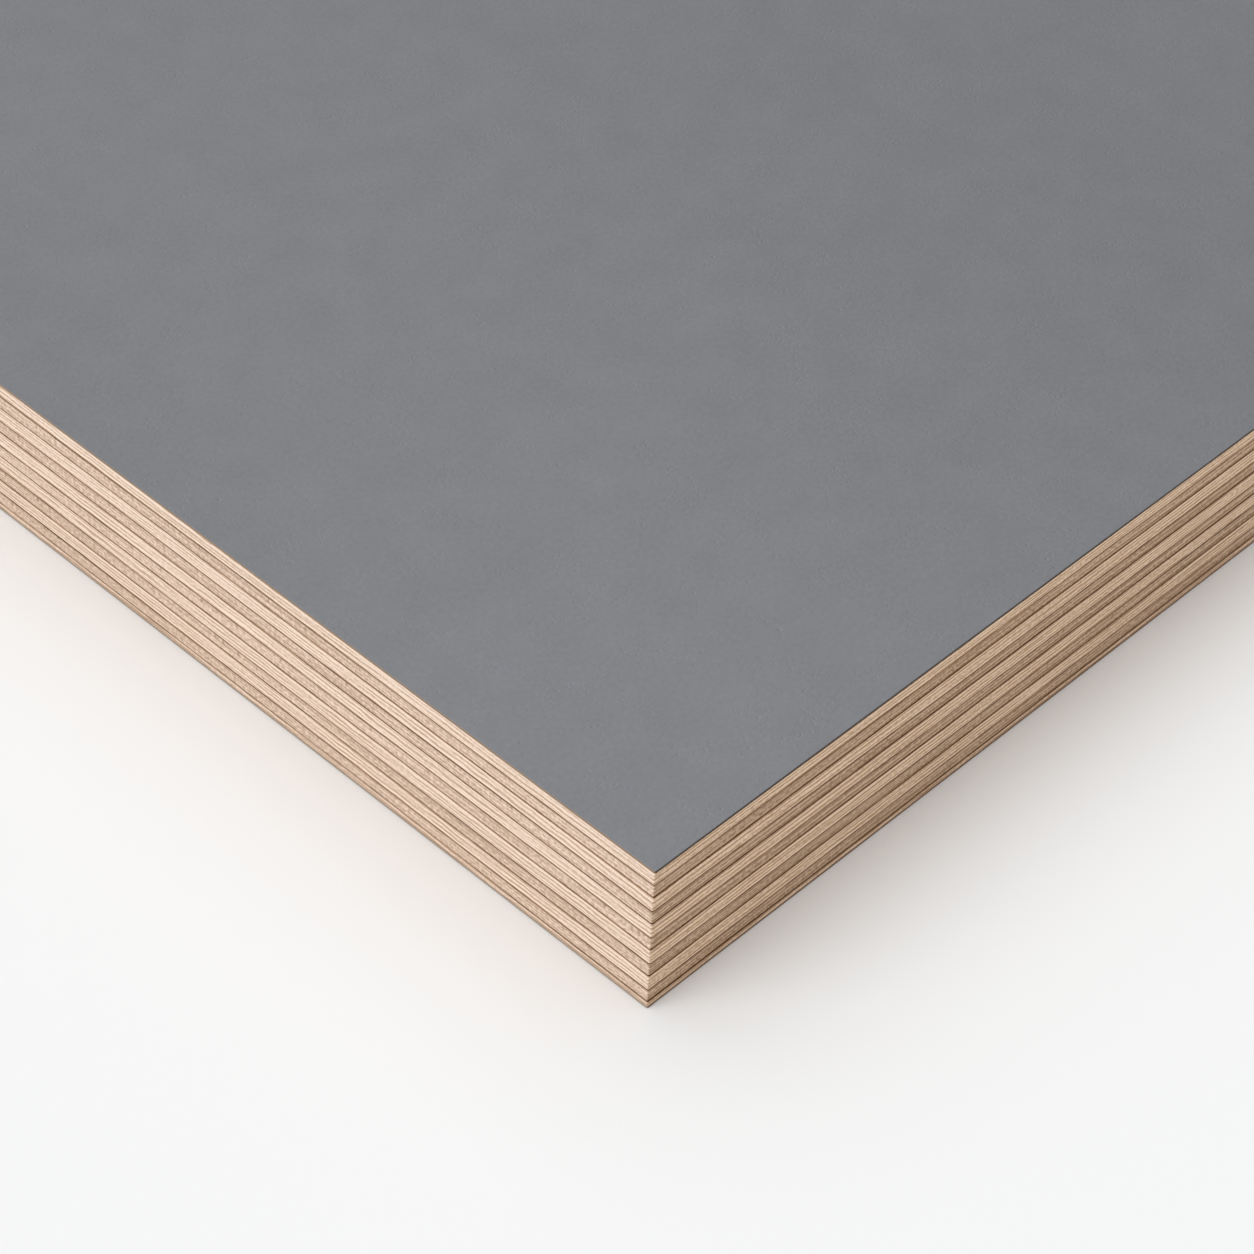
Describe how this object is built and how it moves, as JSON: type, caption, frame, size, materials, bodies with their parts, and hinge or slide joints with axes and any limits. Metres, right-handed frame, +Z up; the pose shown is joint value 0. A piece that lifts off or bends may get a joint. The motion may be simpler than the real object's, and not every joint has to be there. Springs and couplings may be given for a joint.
{
  "type": "plywood sheet",
  "caption": "Grey film-faced plywood sheet with square sawn edges that show pale and dark plies and brown glue lines.",
  "frame": {"origin": "middle of the underside of the sheet", "axes": "+X along the sheet's length, +Y across its width, +Z up out of its face film"},
  "size_m": [2.44, 1.22, 0.015],
  "materials": {
    "grey_film": "matte",
    "pale_veneer": "matte",
    "dark_veneer": "matte",
    "resin_glue": "matte"
  },
  "bodies": {
    "root": {"face_film": "grey_film", "ply_01_face": "pale_veneer", "ply_02_cross": "dark_veneer", "ply_03_long": "pale_veneer", "ply_04_cross": "dark_veneer", "ply_05_long": "pale_veneer", "ply_06_cross": "dark_veneer", "ply_07_long": "pale_veneer", "ply_08_cross": "dark_veneer", "ply_09_long": "pale_veneer", "ply_10_cross": "dark_veneer", "ply_11_back": "pale_veneer", "glue_lines": "resin_glue", "back_film": "grey_film"}
  },
  "joints": []
}
